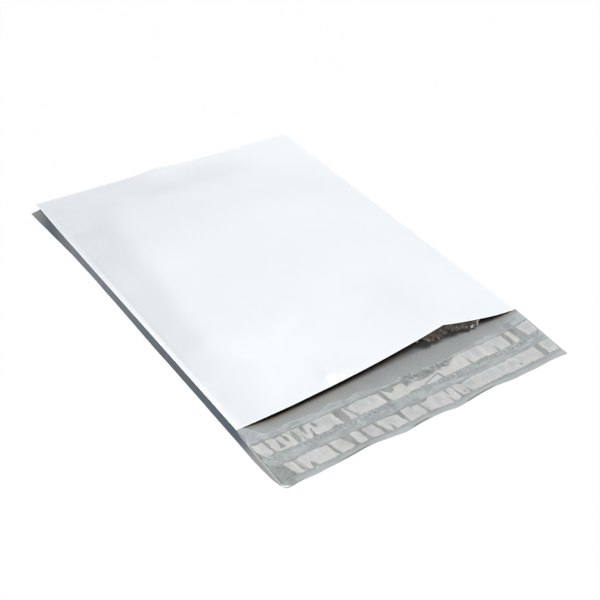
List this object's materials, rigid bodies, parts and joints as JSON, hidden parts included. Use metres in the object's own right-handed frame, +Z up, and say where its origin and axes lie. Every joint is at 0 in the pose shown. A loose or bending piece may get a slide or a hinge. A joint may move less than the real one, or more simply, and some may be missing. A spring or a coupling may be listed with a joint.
{
  "type": "poly mailer bag",
  "caption": "Flat white film mailer lying open at its mouth, with a long sealing lip that carries adhesive bands under a clear release liner.",
  "frame": {"origin": "middle of the footprint, on the floor that the back panel lies on", "axes": "+Z up, +Y from the lip towards the bottom fold, +X across the bag to its right edge seen from the mouth"},
  "size_m": [0.2619, 0.391, 0.021],
  "materials": {
    "bag_film": "satin white film outside, grey inside",
    "adhesive": "pale hot-melt adhesive",
    "release_liner": "clear glossy release film"
  },
  "bodies": {
    "root": {"bag_film": "bag_film", "adhesive_strip_inner": "adhesive", "adhesive_strip_outer": "adhesive", "release_liner": "release_liner"}
  },
  "joints": []
}
